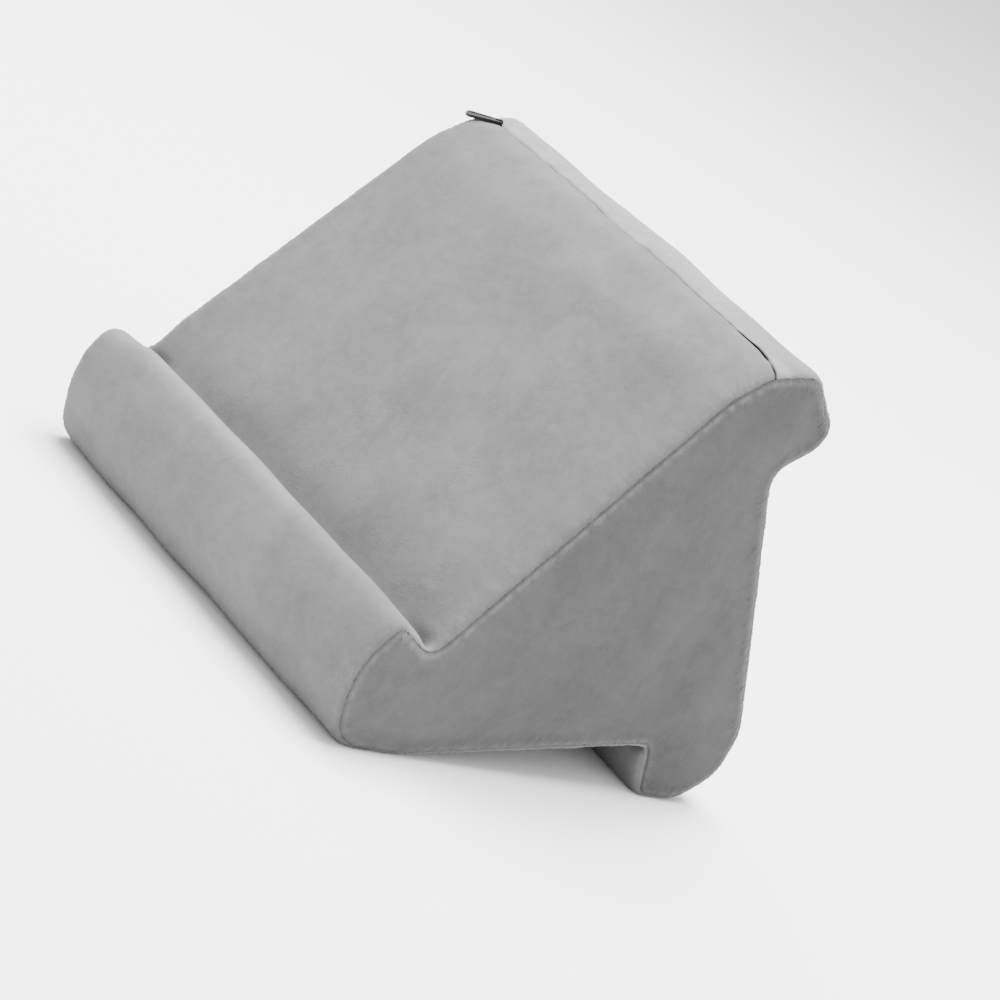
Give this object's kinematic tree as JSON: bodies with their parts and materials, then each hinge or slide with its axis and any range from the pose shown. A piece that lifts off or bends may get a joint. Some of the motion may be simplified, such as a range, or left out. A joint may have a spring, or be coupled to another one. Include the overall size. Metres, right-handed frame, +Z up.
{
  "type": "tablet stand",
  "caption": "Soft wedge-shaped tablet stand with a padded ledge lip along each side, a foam core and a plush cover closed by a concealed zip.",
  "frame": {"origin": "bottom centre of the bounding box, on the surface that the stand rests on", "axes": "+X along the width to the user's right when facing the sloped face, +Y to the back, away from the ledge lip, +Z up"},
  "size_m": [0.262, 0.27, 0.236],
  "materials": {
    "plush": "matte",
    "liner": "matte",
    "foam": "matte",
    "zip_tape": "matte",
    "zip_nylon": "satin",
    "zip_metal": "satin"
  },
  "bodies": {
    "stand": {"foam_core": "foam", "liner_wrap": "liner", "liner_side_left": "liner", "liner_side_right": "liner", "face_panel": "plush", "base_panel": "plush", "back_panel": "plush", "side_panel_left": "plush", "side_panel_right": "plush", "zip_tape_front": "zip_tape", "zip_tape_back": "zip_tape", "zip_elements_front": "zip_nylon", "zip_elements_back": "zip_nylon", "zip_top_stop_front": "zip_metal", "zip_top_stop_back": "zip_metal", "zip_bottom_stop": "zip_metal"},
    "slider": {"zip_slider": "zip_metal"},
    "pull": {"zip_pull": "zip_metal"}
  },
  "joints": [
    {"name": "zip_slide", "type": "slide", "parent": "stand", "child": "slider", "axis": [1, 0, 0], "range_m": [0, 0.23]},
    {"name": "pull_swing", "type": "hinge", "parent": "slider", "child": "pull", "pos_m": [-0.1177, 0.01658, 0.23439], "axis": [-0.788, 0.5855, 0.1904], "range_deg": [0, 165]}
  ]
}
